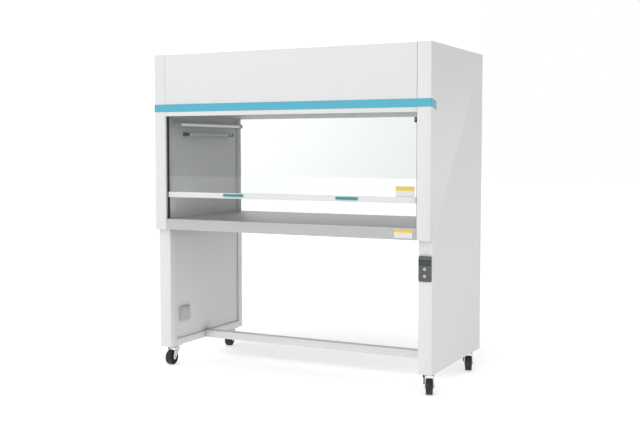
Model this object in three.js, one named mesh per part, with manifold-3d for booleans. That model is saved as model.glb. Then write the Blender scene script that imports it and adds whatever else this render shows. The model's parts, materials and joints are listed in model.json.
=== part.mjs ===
// Two-person clean bench on castors: a folded-steel cabinet with a blower and filter in its head,
// a stainless worktop, a counterbalanced sliding sash at the front and a fixed glass at the back.
// Millimetres, +Z up, +X to the user's right, -Y towards the user. The origin is on the floor,
// under the middle of the cabinet.
import * as THREE from "three";
import { mergeVertices } from "three/addons/utils/BufferGeometryUtils.js";
import Module from "manifold-3d";

const wasm = await Module();
wasm.setup();

// ---------------------------------------------------------------- driving dimensions
const WIDTH = 1500;
const DEPTH = 740;
const HEIGHT = 1600;
const GAP = 0.3; // between pieces that touch
const RUNNING_GAP = 1; // beside pieces that slide or turn

const SHEET = 2;
const BEND_RADIUS = 4;

// side frames: one folded box on each side, a column above and a leg set back below it
const COLUMN_WIDTH = 68;
const LEG_SETBACK = 31;
const SHOULDER_GAP = 1; // under the worktop's apron
const LIP_DEPTH = 6;
const LINER_OVERLAP = 8;
const FRONT_STRIP = 85; // from the column's front to the inset wall
const REAR_STRIP = 43;
const LEG_FRONT_STRIP = 54;
const LEG_BOTTOM_STRIP = 34;
const LEG_TOP_STRIP = 14;

// worktop and chamber
const WORKTOP_TOP_Z = 770;
const APRON_HEIGHT = 55;
const LEDGE_HEIGHT = 7;
const HEAD_HEIGHT = 310; // from the chamber's ceiling to the top
const HEADER_HEIGHT = 22;
const CEILING_SHEET_LIFT = 3;
const TRAY_DEPTH = 11.5; // returns of the folded front panels

// coloured band over the header
const BAND_HEIGHT = 37;
const BAND_THICKNESS = 0.7;
const BAND_WRAP = 64;
const BAND_DROP = 12;

// sash
const SASH_SETBACK = 17; // from the cabinet's front to the glass
const GLASS_THICKNESS = 5;
const SASH_GAP_OPEN = 110; // under the sash, as it stands
const GLASS_BEHIND_HEADER = 128;
const RAIL_HEIGHT = 27;
const RAIL_DEPTH = 16;
const RAIL_SLOT_DEPTH = 21;
const GUIDE_PROUD = 5;
const GUIDE_DEPTH = 15;
const GUIDE_TOP_GAP = 25;
const TOP_RAIL_HEIGHT = 35;
const TOP_RAIL_DEPTH = 19.7;
const TOP_RAIL_CAP = 10;
const TOP_RAIL_END_GAP = 20;
const GRIP_LENGTH = 112;
const GRIP_HEIGHT = 12;
const GRIP_PROUD = 7;
const GRIP_LIFT = 2; // above the middle of the bottom rail
const GRIP_LEFT_X = -287;
const GRIP_RIGHT_X = 331;

// sash drive: two belts on a pair of cross shafts, and one counterweight bar
const PULLEY_PITCH_RADIUS = 20;
const BELT_THICKNESS = 2;
const BELT_WIDTH = 15;
const BELT_INSET = 41; // from the column's inner face to a belt's middle
const SHAFT_RADIUS = 4;
const SHAFT_END_IN_FRAME = 3;
const WEIGHT_HEIGHT = 34;
const WEIGHT_DEPTH = 26;
const WEIGHT_END_GAP = 31;
const WEIGHT_LIFT = 5; // above the middle of its run, as the sash stands

// head: filter, shelf, blower, pre-filter and roof
const DIFFUSER_THICKNESS = 2.5;
const FILTER_HEIGHT = 69;
const FILTER_BORDER = 20;
const FILTER_RECESS = 5;
const FILTER_GAP = 6;
const PLENUM_HEIGHT = 27;
const POCKET_CLEARANCE = 5.9; // behind the counterweight
const BLOWER_Y = 50;
const BLOWER_WIDTH = 150;
const SCROLL_MAX_RADIUS = 88;
const SCROLL_MIN_RADIUS = 70;
const SCROLL_SWEEP = (250 / 180) * Math.PI;
const BLOWER_INLET_RADIUS = 62;
const WHEEL_RADIUS = 60;
const WHEEL_RING_WIDTH = 10;
const WHEEL_HUB_RADIUS = 12;
const WHEEL_LENGTH = 116;
const WHEEL_BLADES = 12;
const MOTOR_RADIUS = 28;
const MOTOR_ARM_WIDTH = 12;
const MOTOR_ARM_OVERLAP = 8; // past the edge of the housing's inlet
const PREFILTER_LENGTH = 520;
const PREFILTER_WIDTH = 320;
const PREFILTER_HEIGHT = 18;
const PREFILTER_BORDER = 12;
const PREFILTER_RECESS = 4;
const ROOF_DROP = 2;
const ROOF_SLOTS = 13;
const ROOF_SLOT_WIDTH = 9;
const ROOF_SLOT_MARGIN = 30;

// back
const REAR_GLASS_THICKNESS = 5;
const REAR_PANEL_DEPTH = 12;
const REAR_PANEL_INSET = 3;
const INLET_INSET = 121; // from the column's inner face
const INLET_LIFT = 33; // above the header
const INLET_WIDTH = 30;
const INLET_HEIGHT = 22;
const INLET_FLANGE = 6;
const INLET_PROUD = 2.2;

// lamps on the left chamber wall
const LED_RADIUS = 8;
const LED_DROP = 39; // below the ceiling
const LED_INSETS = [80, 43]; // from the cabinet's front and back
const UV_RADIUS = 6.5;
const UV_DROP = 89;
const UV_INSETS = [159, 138];
const LAMP_STANDOFF = 24; // from the column's inner face to a lamp's axis
const LAMP_HOLDER = 14;
const LAMP_HOLDER_MARGIN = 2; // round the tube

// stand
const STRETCHER_SIZE = 40;
const STRETCHER_RADIUS = 3;

// control panel on the right leg
const PANEL_WIDTH = 61;
const PANEL_HEIGHT = 115;
const PANEL_THICKNESS = 6;
const PANEL_DROP = 72; // below the shoulder
const PANEL_OFFSET = 1; // from the leg's middle, towards the inside
const DISPLAY_WIDTH = 50;
const DISPLAY_HEIGHT = 20;
const DISPLAY_DROP = 29;
const DISPLAY_RECESS = 3;
const DISPLAY_SETBACK = 0.5;
const BUTTON_RADIUS = 8;
const BUTTON_LENGTH = 5.5;
const BUTTON_PROUD = 2.5;
const BUTTON_DROPS = [58, 90];

// socket on the left leg's inner panel
const SOCKET_WIDTH = 88;
const SOCKET_HEIGHT = 76;
const SOCKET_THICKNESS = 8;
const SOCKET_RECESS = 5;
const SOCKET_BORDER = 9;
const SOCKET_FROM_FRONT = 76; // from the edges of the leg's inset panel to the socket's middle
const SOCKET_FROM_BOTTOM = 126;
const FLAP_THICKNESS = 3;

// castors
const CASTOR_INSET_X = 38;
const CASTOR_INSET_Y = 74;
const CASTOR_PLATE = 60;
const CASTOR_PLATE_THICKNESS = 3;
const RACEWAY_RADIUS = 22;
const RACEWAY_HEIGHT = 6.7;
const CROWN_THICKNESS = 5;
const KINGPIN_RADIUS = 5;
const KINGPIN_PROUD = 3;
const CHEEK_FRONT = 19; // from the kingpin to the cheek's leading edge, at its top
const CHEEK_DROP = 8; // below the crown, where that edge starts its slope
const TYRE_RADIUS = 37.5;
const TYRE_WALL = 9.5;
const HUB_RADIUS = 14;
const WEB_RECESS = 6;
const WHEEL_CLEARANCE = 9.7; // between the tyre and the fork's crown
const TYRE_WIDTH = 32;
const AXLE_RADIUS = 4;
const TRAIL = 26;
const FORK_PLATE = 3;
const FORK_BOSS_RADIUS = 11;
const AXLE_NUT_HEIGHT = 4;
const BRAKE_THICKNESS = 5.5;
const BRAKE_DROP = 1.7; // from the fork's crown to the tread
const BRAKE_SHOE_LIFT = 6.5; // from the axle's level to the lever's toe
const BRAKE_TREAD_LENGTH = 24;
const BRAKE_TREAD_THICKNESS = 5;
const BRAKE_TREAD_PROUD = 4;
// the way each castor trails, in degrees round from the front towards the right
const CASTORS = [
  { name: "castor_front_left", sideX: -1, sideY: -1, heading: -1 },
  { name: "castor_front_right", sideX: 1, sideY: -1, heading: 19 },
  { name: "castor_rear_left", sideX: -1, sideY: 1, heading: 9 },
  { name: "castor_rear_right", sideX: 1, sideY: 1, heading: 21 },
];

// ---------------------------------------------------------------- derived levels and planes
const bodyHalf = WIDTH / 2 - BAND_THICKNESS - GAP;
const frontY = -DEPTH / 2 + BAND_THICKNESS + GAP;
const rearY = DEPTH / 2;
const crownTopZ = TYRE_RADIUS * 2 + WHEEL_CLEARANCE + CROWN_THICKNESS;
const racewayZ = crownTopZ + GAP;
const footZ = racewayZ + RACEWAY_HEIGHT + CASTOR_PLATE_THICKNESS + GAP;
const shoulderZ = WORKTOP_TOP_Z - APRON_HEIGHT - SHOULDER_GAP;
const ceilingZ = HEIGHT - HEAD_HEIGHT;
const innerX = bodyHalf - COLUMN_WIDTH;
const fitX = innerX - GAP; // half-length of what spans between the side frames
const legFrontY = frontY + LEG_SETBACK;
const legTopZ = shoulderZ - LEG_TOP_STRIP;
const linerX = innerX + LIP_DEPTH + GAP;
const chamberWindow = {
  y: [frontY + FRONT_STRIP, rearY - REAR_STRIP],
  z: [WORKTOP_TOP_Z + LEDGE_HEIGHT, ceilingZ - LEDGE_HEIGHT],
};
const legWindow = {
  y: [legFrontY + LEG_FRONT_STRIP, rearY - REAR_STRIP],
  z: [footZ + LEG_BOTTOM_STRIP, legTopZ],
};
const headerTopZ = ceilingZ + HEADER_HEIGHT;
const trayBackY = frontY + TRAY_DEPTH;
const glassY = frontY + SASH_SETBACK;
const guideFrontY = trayBackY + GAP;
const guideBackY = guideFrontY + GUIDE_DEPTH;
const guideX = innerX - GUIDE_PROUD;
const guideTopZ = HEIGHT - GUIDE_TOP_GAP;
const railZ = WORKTOP_TOP_Z + SASH_GAP_OPEN;
const glassBottomZ = railZ + RAIL_HEIGHT - RAIL_SLOT_DEPTH;
const glassTopZ = headerTopZ + GLASS_BEHIND_HEADER;
const topRailTopZ = glassTopZ + TOP_RAIL_CAP;
const topRailBackY = guideFrontY + RUNNING_GAP + TOP_RAIL_DEPTH;
const ceilingSheetZ = ceilingZ + CEILING_SHEET_LIFT;
const ceilingTopZ = ceilingSheetZ + DIFFUSER_THICKNESS;
const roofTopZ = HEIGHT - ROOF_DROP;
const roofUndersideZ = roofTopZ - SHEET;
const pulleyOuterRadius = PULLEY_PITCH_RADIUS + BELT_THICKNESS / 2;
const shaftY = topRailBackY + GAP + pulleyOuterRadius;
const lowerShaftZ = ceilingTopZ + RUNNING_GAP + pulleyOuterRadius;
const upperShaftZ = roofUndersideZ - RUNNING_GAP - pulleyOuterRadius;
const weightFrontY = shaftY + pulleyOuterRadius + GAP;
const weightMiddleZ = (lowerShaftZ + upperShaftZ) / 2 + WEIGHT_LIFT;
const beltX = innerX - BELT_INSET;
const pocketBackY = weightFrontY + WEIGHT_DEPTH + POCKET_CLEARANCE;
const filterBottomZ = ceilingTopZ + GAP * 10;
const filterTopZ = filterBottomZ + FILTER_HEIGHT;
const shelfZ = filterTopZ + PLENUM_HEIGHT;
const rearPanelY = rearY - REAR_PANEL_INSET;
const rearPanelInnerY = rearPanelY - REAR_PANEL_DEPTH;
const blowerZ = shelfZ + SHEET + GAP + SCROLL_MAX_RADIUS;
const panelMiddleX = bodyHalf - COLUMN_WIDTH / 2 - PANEL_OFFSET;
const panelTopZ = shoulderZ - PANEL_DROP;
const axleZ = TYRE_RADIUS;
const rimRadius = TYRE_RADIUS - TYRE_WALL;

// ---------------------------------------------------------------- materials
const finish = (color, roughness, metalness) =>
  new THREE.MeshStandardMaterial({ color, roughness, metalness });
const whitePaint = () => finish(0xe9ebec, 0.45, 0.1);
const cyanTrim = () => finish(0x45b0c8, 0.4, 0);
const tealPlastic = () => finish(0x35a3a8, 0.45, 0);
const stainless = () => finish(0xb9bcbd, 0.35, 0.9);
const galvanised = () => finish(0xa9adb0, 0.5, 0.8);
const blackRubber = () => finish(0x1c1c1e, 0.8, 0);
const blackPlastic = () => finish(0x252628, 0.5, 0);
const greyPlastic = () => finish(0xb9bbbd, 0.5, 0);
const darkPanel = () => finish(0x55585a, 0.5, 0);
const zincPlate = () => finish(0xc4c6c8, 0.3, 0.9);
const clearGlass = () => finish(0xdfe9ea, 0.05, 0);
const filterMedia = () => finish(0xf2f2ee, 0.9, 0);
const lampGlass = () => finish(0xf4f6f7, 0.2, 0);

// ---------------------------------------------------------------- solids
// A closed geometry as a solid: its corners merged, and the slivers at a lathe's poles dropped.
function solidOf(geometry) {
  const bare = geometry.clone();
  bare.deleteAttribute("normal");
  bare.deleteAttribute("uv");
  const merged = mergeVertices(bare, 1e-4);
  const corners = merged.index.array;
  const triangles = [];
  for (let i = 0; i < corners.length; i += 3) {
    const [a, b, c] = [corners[i], corners[i + 1], corners[i + 2]];
    if (a !== b && b !== c && c !== a) triangles.push(a, b, c);
  }
  return new wasm.Manifold(
    new wasm.Mesh({
      numProp: 3,
      vertProperties: new Float32Array(merged.attributes.position.array),
      triVerts: new Uint32Array(triangles),
    }),
  );
}

function geometryOf(solid) {
  const { vertProperties, triVerts } = solid.getMesh();
  const geometry = new THREE.BufferGeometry();
  geometry.setAttribute("position", new THREE.BufferAttribute(vertProperties, 3));
  geometry.setIndex(new THREE.BufferAttribute(triVerts, 1));
  return geometry;
}

function piece(name, solid, material) {
  const mesh = new THREE.Mesh(geometryOf(solid), material);
  mesh.name = name;
  return mesh;
}

const joined = (solids) => solids.reduce((whole, next) => whole.add(next));
const cut = (solid, cutters) => cutters.reduce((rest, next) => rest.subtract(next), solid);

function block([x0, x1], [y0, y1], [z0, z1]) {
  const geometry = new THREE.BoxGeometry(Math.abs(x1 - x0), y1 - y0, z1 - z0);
  geometry.translate((x0 + x1) / 2, (y0 + y1) / 2, (z0 + z1) / 2);
  return solidOf(geometry);
}

// An outline extruded along one axis, from low to high. The outline is drawn in (x, y) for an
// extrusion along Z, in (y, z) along X, and in (x, z) along Y.
function prism(outline, axis, [low, high], curveSegments = 2) {
  const depth = high - low;
  const geometry = new THREE.ExtrudeGeometry(outline, { depth, bevelEnabled: false, curveSegments });
  const [x, y, z] = [0, 1, 2].map((i) => new THREE.Vector3().setComponent(i, 1));
  const turn = new THREE.Matrix4();
  if (axis === "x") turn.makeBasis(y, z, x).setPosition(low, 0, 0);
  if (axis === "y") turn.makeBasis(x, z, y.negate()).setPosition(0, high, 0);
  if (axis === "z") turn.setPosition(0, 0, low);
  return solidOf(geometry.applyMatrix4(turn));
}

function outlineOf(points) {
  return new THREE.Shape(points.map(([a, b]) => new THREE.Vector2(a, b)));
}

function roundedOutline([a0, a1], [b0, b1], radius) {
  const shape = new THREE.Shape();
  shape.moveTo(a0 + radius, b0);
  shape.absarc(a1 - radius, b0 + radius, radius, -Math.PI / 2, 0);
  shape.absarc(a1 - radius, b1 - radius, radius, 0, Math.PI / 2);
  shape.absarc(a0 + radius, b1 - radius, radius, Math.PI / 2, Math.PI);
  shape.absarc(a0 + radius, b0 + radius, radius, Math.PI, Math.PI * 1.5);
  return shape;
}

// A profile of (radius, place along the axis) points, turned about an axis through the origin.
function turned(profile, axis, segments) {
  const points = profile.map(([radius, along]) => new THREE.Vector2(radius, along));
  const geometry = new THREE.LatheGeometry(points, segments);
  if (axis === "x") geometry.rotateZ(-Math.PI / 2);
  if (axis === "z") geometry.rotateX(Math.PI / 2);
  return solidOf(geometry);
}

function rod(radius, axis, [low, high], segments = 16) {
  const profile = [[0, low], [radius, low], [radius, high], [0, high]];
  return turned(profile, axis, segments);
}

// A span measured outwards from the middle plane, on the left (-1) or the right (1).
const span = (side, near, far) => (side < 0 ? [-far, -near] : [near, far]);
const grown = ([low, high], margin) => [low - margin, high + margin];

// ---------------------------------------------------------------- side frames
function sideFrame(side) {
  const skin = (inset) => {
    const x = span(side, innerX + inset, bodyHalf - inset);
    const radius = BEND_RADIUS - inset;
    const column = roundedOutline(x, [frontY + inset, rearY - inset], radius);
    const leg = roundedOutline(x, [legFrontY + inset, rearY - inset], radius);
    const legHeight = [footZ + inset, shoulderZ + SHEET * 2];
    return prism(column, "z", [shoulderZ + inset, HEIGHT - inset]).add(prism(leg, "z", legHeight));
  };
  const windows = [chamberWindow, legWindow];
  const lips = windows.map(({ y, z }) =>
    block(span(side, innerX, innerX + LIP_DEPTH), grown(y, SHEET), grown(z, SHEET)),
  );
  const through = span(side, innerX - 1, innerX + LIP_DEPTH + 1);
  const holes = windows.map(({ y, z }) => block(through, y, z));
  const bearings = [lowerShaftZ, upperShaftZ].map((z) =>
    rod(SHAFT_RADIUS + RUNNING_GAP / 2, "x", through).translate([0, shaftY, z]),
  );
  return cut(joined([skin(0).subtract(skin(SHEET)), ...lips]), [...holes, ...bearings]);
}

const liner = (side, { y, z }) =>
  block(span(side, linerX, linerX + SHEET), grown(y, LINER_OVERLAP), grown(z, LINER_OVERLAP));

function sidePieces() {
  const sides = [["left", -1], ["right", 1]];
  return sides.flatMap(([word, side]) => [
    piece(`side_frame_${word}`, sideFrame(side), whitePaint()),
    piece(`chamber_wall_${word}`, liner(side, chamberWindow), whitePaint()),
    piece(`leg_liner_${word}`, liner(side, legWindow), whitePaint()),
  ]);
}

// ---------------------------------------------------------------- fronts, band and stand
// A sheet folded back on all four edges, open at the back.
function frontTray([z0, z1]) {
  const outer = block([-fitX, fitX], [frontY, trayBackY], [z0, z1]);
  const pocket = [frontY + SHEET, trayBackY + 1];
  return outer.subtract(block([SHEET - fitX, fitX - SHEET], pocket, [z0 + SHEET, z1 - SHEET]));
}

// The band follows the front and runs back a little way round both corners, sloping down.
function trimBand() {
  const ring = (inset) => {
    const half = WIDTH / 2 - inset;
    const radius = BEND_RADIUS + BAND_THICKNESS + GAP - inset;
    return roundedOutline([-half, half], [-DEPTH / 2 + inset, rearY], radius);
  };
  const height = [headerTopZ - BAND_DROP * 2, headerTopZ + BAND_HEIGHT];
  const wall = prism(ring(0), "z", height).subtract(prism(ring(BAND_THICKNESS), "z", grown(height, 1)));
  const cornerY = -DEPTH / 2 + BEND_RADIUS * 2;
  const endY = -DEPTH / 2 + BAND_WRAP;
  const top = headerTopZ + BAND_HEIGHT;
  const sideView = outlineOf([
    [-DEPTH / 2 - 1, headerTopZ],
    [cornerY, headerTopZ],
    [endY, headerTopZ - BAND_DROP],
    [endY, top - BAND_DROP],
    [cornerY, top],
    [-DEPTH / 2 - 1, top],
  ]);
  return wall.intersect(prism(sideView, "x", [-WIDTH / 2 - 1, WIDTH / 2 + 1]));
}

function worktop() {
  const z = [WORKTOP_TOP_Z - APRON_HEIGHT, WORKTOP_TOP_Z];
  const y = [frontY, rearY - GAP];
  const folded = prism(roundedOutline(y, z, BEND_RADIUS), "x", [-fitX, fitX]);
  const square = block([-fitX, fitX], y, [z[0], z[0] + BEND_RADIUS * 2]);
  const hollow = [z[0] - 1, z[1] - SHEET];
  return folded.add(square).subtract(block([SHEET - fitX, fitX - SHEET], grown(y, -SHEET), hollow));
}

function stretcher() {
  const half = STRETCHER_SIZE / 2;
  const z = [footZ, footZ + STRETCHER_SIZE];
  const tube = (inset) =>
    roundedOutline(grown([-half, half], -inset), grown(z, -inset), STRETCHER_RADIUS - inset);
  const length = [-fitX, fitX];
  return prism(tube(0), "x", length).subtract(prism(tube(SHEET), "x", grown(length, 1)));
}

function cabinetPieces() {
  return [
    piece("header_rail", frontTray([ceilingZ, headerTopZ - GAP]), whitePaint()),
    piece("upper_front_panel", frontTray([headerTopZ, HEIGHT - 1]), whitePaint()),
    piece("trim_band", trimBand(), cyanTrim()),
    piece("worktop", worktop(), stainless()),
    piece("stretcher_bar", stretcher(), whitePaint()),
  ];
}

// ---------------------------------------------------------------- sash and its drive
const glassBand = (margin) => [glassY - margin, glassY + GLASS_THICKNESS + margin];

function sashGuide(side) {
  const z = [WORKTOP_TOP_Z + RUNNING_GAP, guideTopZ];
  const channel = block(span(side, guideX, fitX), [guideFrontY, guideBackY], z);
  const slot = block(span(side, guideX - 1, fitX - SHEET), glassBand(GAP * 2), grown(z, 1));
  return channel.subtract(slot);
}

function sashGlass() {
  const half = fitX - SHEET - RUNNING_GAP / 2;
  return block([-half, half], glassBand(0), [glassBottomZ, glassTopZ]);
}

function sashBottomRail() {
  const half = guideX - RUNNING_GAP;
  const z = [railZ, railZ + RAIL_HEIGHT];
  const bar = block([-half, half], [guideFrontY, guideFrontY + RAIL_DEPTH], z);
  const slot = [glassBottomZ - GAP, z[1] + 1];
  return bar.subtract(block([-half - 1, half + 1], glassBand(GAP), slot));
}

function sashTopRail() {
  const half = guideX - TOP_RAIL_END_GAP;
  const z = [topRailTopZ - TOP_RAIL_HEIGHT, topRailTopZ];
  const bar = block([-half, half], [guideFrontY + RUNNING_GAP, topRailBackY], z);
  return bar.subtract(block([-half - 1, half + 1], glassBand(GAP), [z[0] - 1, glassTopZ + GAP]));
}

function grip(middleX) {
  const back = guideFrontY - GAP;
  const front = back - GRIP_PROUD;
  const low = railZ + (RAIL_HEIGHT - GRIP_HEIGHT) / 2 + GRIP_LIFT;
  const high = low + GRIP_HEIGHT;
  const chamfer = GRIP_PROUD / 2;
  const profile = outlineOf([
    [back, low],
    [back, high],
    [front + chamfer, high],
    [front, high - chamfer],
    [front, low + chamfer],
    [front + chamfer, low],
  ]);
  return prism(profile, "x", [middleX - GRIP_LENGTH / 2, middleX + GRIP_LENGTH / 2]);
}

// A closed belt: round both pulleys and straight between them.
function belt(side) {
  const loop = (radius) => {
    const shape = new THREE.Shape();
    shape.absarc(shaftY, lowerShaftZ, radius, Math.PI, Math.PI * 2);
    shape.absarc(shaftY, upperShaftZ, radius, 0, Math.PI);
    return shape;
  };
  const x = span(side, beltX - BELT_WIDTH / 2, beltX + BELT_WIDTH / 2);
  const inner = pulleyOuterRadius - BELT_THICKNESS;
  return prism(loop(pulleyOuterRadius), "x", x, 10).subtract(prism(loop(inner), "x", grown(x, 1), 10));
}

// A shaft across the cabinet with a pulley under each belt, in one piece.
function crossShaft(z) {
  const end = innerX + SHAFT_END_IN_FRAME;
  const rim = pulleyOuterRadius - BELT_THICKNESS - GAP;
  const pulleyHalf = BELT_WIDTH / 2 + 1;
  const profile = [
    [0, -end],
    [SHAFT_RADIUS, -end],
    [SHAFT_RADIUS, -beltX - pulleyHalf],
    [rim, -beltX - pulleyHalf],
    [rim, -beltX + pulleyHalf],
    [SHAFT_RADIUS, -beltX + pulleyHalf],
    [SHAFT_RADIUS, beltX - pulleyHalf],
    [rim, beltX - pulleyHalf],
    [rim, beltX + pulleyHalf],
    [SHAFT_RADIUS, beltX + pulleyHalf],
    [SHAFT_RADIUS, end],
    [0, end],
  ];
  return turned(profile, "x", 16).translate([0, shaftY, z]);
}

function counterweight() {
  const z = [weightMiddleZ - WEIGHT_HEIGHT / 2, weightMiddleZ + WEIGHT_HEIGHT / 2];
  const half = innerX - WEIGHT_END_GAP;
  return block([-half, half], [weightFrontY, weightFrontY + WEIGHT_DEPTH], z);
}

function sashPieces() {
  return [
    piece("sash_glass", sashGlass(), clearGlass()),
    piece("sash_bottom_rail", sashBottomRail(), whitePaint()),
    piece("sash_top_rail", sashTopRail(), galvanised()),
    piece("sash_grip_left", grip(GRIP_LEFT_X), tealPlastic()),
    piece("sash_grip_right", grip(GRIP_RIGHT_X), tealPlastic()),
    piece("sash_guide_left", sashGuide(-1), blackPlastic()),
    piece("sash_guide_right", sashGuide(1), blackPlastic()),
    piece("sash_belt_left", belt(-1), blackRubber()),
    piece("sash_belt_right", belt(1), blackRubber()),
    piece("sash_drive_shaft", crossShaft(upperShaftZ), zincPlate()),
    piece("sash_idler_shaft", crossShaft(lowerShaftZ), zincPlate()),
    piece("counterweight_bar", counterweight(), galvanised()),
  ];
}

// ---------------------------------------------------------------- head: filter, blower and roof
function diffuser() {
  const y = [guideBackY + RUNNING_GAP * 5, rearPanelInnerY - GAP * 10];
  return block([-fitX, fitX], y, [ceilingSheetZ, ceilingTopZ]);
}

function hepaFilter() {
  const half = fitX - FILTER_BORDER;
  const y = [pocketBackY + FILTER_GAP, rearPanelInnerY - FILTER_GAP];
  const frame = block([-half, half], y, [filterBottomZ, filterTopZ]);
  const recess = (z) => block(grown([-half, half], -FILTER_BORDER), grown(y, -FILTER_BORDER), z);
  const below = recess([filterBottomZ - 1, filterBottomZ + FILTER_RECESS]);
  const above = recess([filterTopZ - FILTER_RECESS, filterTopZ + 1]);
  return cut(frame, [below, above]);
}

// The wall behind the sash's pocket and the shelf that carries the blower, folded from one sheet.
function blowerShelf() {
  const half = fitX - RUNNING_GAP;
  const wallZ = [ceilingTopZ + GAP, roofUndersideZ - SHEET];
  const wall = block([-half, half], [pocketBackY, pocketBackY + SHEET], wallZ);
  const shelf = block([-half, half], [pocketBackY + 1, rearPanelInnerY - GAP], [shelfZ, shelfZ + SHEET]);
  const outletHalf = BLOWER_WIDTH / 2 - SHEET;
  const outletZ = grown([shelfZ, shelfZ + SHEET], 1);
  const outlet = block([-outletHalf, outletHalf], scrollSpan(SHEET), outletZ);
  return wall.add(shelf).subtract(outlet);
}

const scrollSpan = (inset) => [
  BLOWER_Y + SCROLL_MIN_RADIUS * Math.cos(SCROLL_SWEEP) + inset,
  BLOWER_Y + SCROLL_MAX_RADIUS - inset,
];

// The scroll: its radius shrinks steadily round the wheel, and its mouth opens down.
function scrollOutline(inset, mouthZ) {
  const [mouthFront, mouthRear] = scrollSpan(inset);
  const steps = 20;
  const points = [[mouthRear, mouthZ]];
  for (let step = 0; step <= steps; step += 1) {
    const angle = (SCROLL_SWEEP * step) / steps;
    const shrink = ((SCROLL_MAX_RADIUS - SCROLL_MIN_RADIUS) * step) / steps;
    const radius = SCROLL_MAX_RADIUS - shrink - inset;
    points.push([BLOWER_Y + radius * Math.cos(angle), blowerZ + radius * Math.sin(angle)]);
  }
  points.push([mouthFront, mouthZ]);
  return outlineOf(points);
}

const atBlower = (solid) => solid.translate([0, BLOWER_Y, blowerZ]);

function blowerHousing() {
  const half = BLOWER_WIDTH / 2;
  const mouthZ = shelfZ + SHEET + GAP;
  const outer = prism(scrollOutline(0, mouthZ), "x", [-half, half]);
  const inner = prism(scrollOutline(SHEET, mouthZ - 1), "x", [SHEET - half, half - SHEET]);
  const inlets = atBlower(rod(BLOWER_INLET_RADIUS, "x", [-half - 1, half + 1], 24));
  return cut(outer, [inner, inlets]);
}

function blowerWheel() {
  const half = WHEEL_LENGTH / 2;
  const bore = SHAFT_RADIUS + RUNNING_GAP / 2;
  const inner = WHEEL_RADIUS - WHEEL_RING_WIDTH;
  const plate = rod(WHEEL_RADIUS, "x", [-SHEET, SHEET]);
  const hub = rod(WHEEL_HUB_RADIUS, "x", [-SHEET * 4, SHEET * 4], 12);
  const rings = [-half, half - SHEET].map((low) => {
    const ring = rod(WHEEL_RADIUS, "x", [low, low + SHEET]);
    return ring.subtract(rod(inner, "x", [low - 1, low + SHEET + 1]));
  });
  const blade = block([-half + 0.5, half - 0.5], [inner + 1, WHEEL_RADIUS - 2], [-1, 1]);
  const blades = Array.from({ length: WHEEL_BLADES }, (_, i) =>
    blade.rotate([(360 / WHEEL_BLADES) * i, 0, 0]),
  );
  const whole = joined([plate, hub, ...rings, ...blades]);
  return atBlower(whole.subtract(rod(bore, "x", [-half, half])));
}

function blowerMotor() {
  const spiderX = -BLOWER_WIDTH / 2 - GAP - FORK_PLATE;
  const can = rod(MOTOR_RADIUS, "x", [spiderX, -SHEET * 4 - RUNNING_GAP * 4], 20);
  const shaft = rod(SHAFT_RADIUS, "x", [spiderX + 1, SHEET * 8]);
  const armEnd = BLOWER_INLET_RADIUS + MOTOR_ARM_OVERLAP;
  const armHalf = MOTOR_ARM_WIDTH / 2;
  const arm = block([spiderX, spiderX + FORK_PLATE], [0, armEnd], [-armHalf, armHalf]);
  const arms = [90, 210, 330].map((angle) => arm.rotate([angle, 0, 0]));
  return atBlower(joined([can, shaft, ...arms]));
}

function preFilter() {
  const x = [-PREFILTER_LENGTH / 2, PREFILTER_LENGTH / 2];
  const y = [BLOWER_Y - PREFILTER_WIDTH / 2, BLOWER_Y + PREFILTER_WIDTH / 2];
  const top = roofUndersideZ - GAP;
  const frame = block(x, y, [top - PREFILTER_HEIGHT, top]);
  const inside = (range) => grown(range, -PREFILTER_BORDER);
  const recess = block(inside(x), inside(y), [top - PREFILTER_RECESS, top + 1]);
  return frame.subtract(recess);
}

function roof() {
  const y = [trayBackY + RUNNING_GAP, rearPanelInnerY - GAP];
  const sheet = block([-fitX, fitX], y, [roofUndersideZ, roofTopZ]);
  const pitch = (PREFILTER_WIDTH - ROOF_SLOT_MARGIN) / ROOF_SLOTS;
  const slotHalf = PREFILTER_LENGTH / 2 - ROOF_SLOT_MARGIN;
  const slots = Array.from({ length: ROOF_SLOTS }, (_, i) => {
    const middle = BLOWER_Y + (i - (ROOF_SLOTS - 1) / 2) * pitch;
    const slotY = [middle - ROOF_SLOT_WIDTH / 2, middle + ROOF_SLOT_WIDTH / 2];
    return block([-slotHalf, slotHalf], slotY, grown([roofUndersideZ, roofTopZ], 1));
  });
  return cut(sheet, slots);
}

function headPieces() {
  return [
    piece("diffuser_plate", diffuser(), galvanised()),
    piece("hepa_filter", hepaFilter(), filterMedia()),
    piece("blower_shelf", blowerShelf(), galvanised()),
    piece("blower_housing", blowerHousing(), galvanised()),
    piece("blower_wheel", blowerWheel(), galvanised()),
    piece("blower_motor", blowerMotor(), blackPlastic()),
    piece("pre_filter", preFilter(), filterMedia()),
    piece("roof_cover", roof(), whitePaint()),
  ];
}

// ---------------------------------------------------------------- back
const inletX = innerX - INLET_INSET;
const inletZ = headerTopZ + INLET_LIFT;
const inletOpening = (margin) => [
  grown([inletX - INLET_WIDTH / 2, inletX + INLET_WIDTH / 2], margin),
  grown([inletZ - INLET_HEIGHT / 2, inletZ + INLET_HEIGHT / 2], margin),
];

function rearPanel() {
  const z = [ceilingSheetZ, HEIGHT - 1];
  const outer = block([-fitX, fitX], [rearPanelInnerY, rearPanelY], z);
  const innerY = [rearPanelInnerY - 1, rearPanelY - SHEET];
  const inner = block([SHEET - fitX, fitX - SHEET], innerY, grown(z, -SHEET));
  const [holeX, holeZ] = inletOpening(GAP);
  return cut(outer, [inner, block(holeX, [rearPanelInnerY, rearPanelY + 1], holeZ)]);
}

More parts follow.
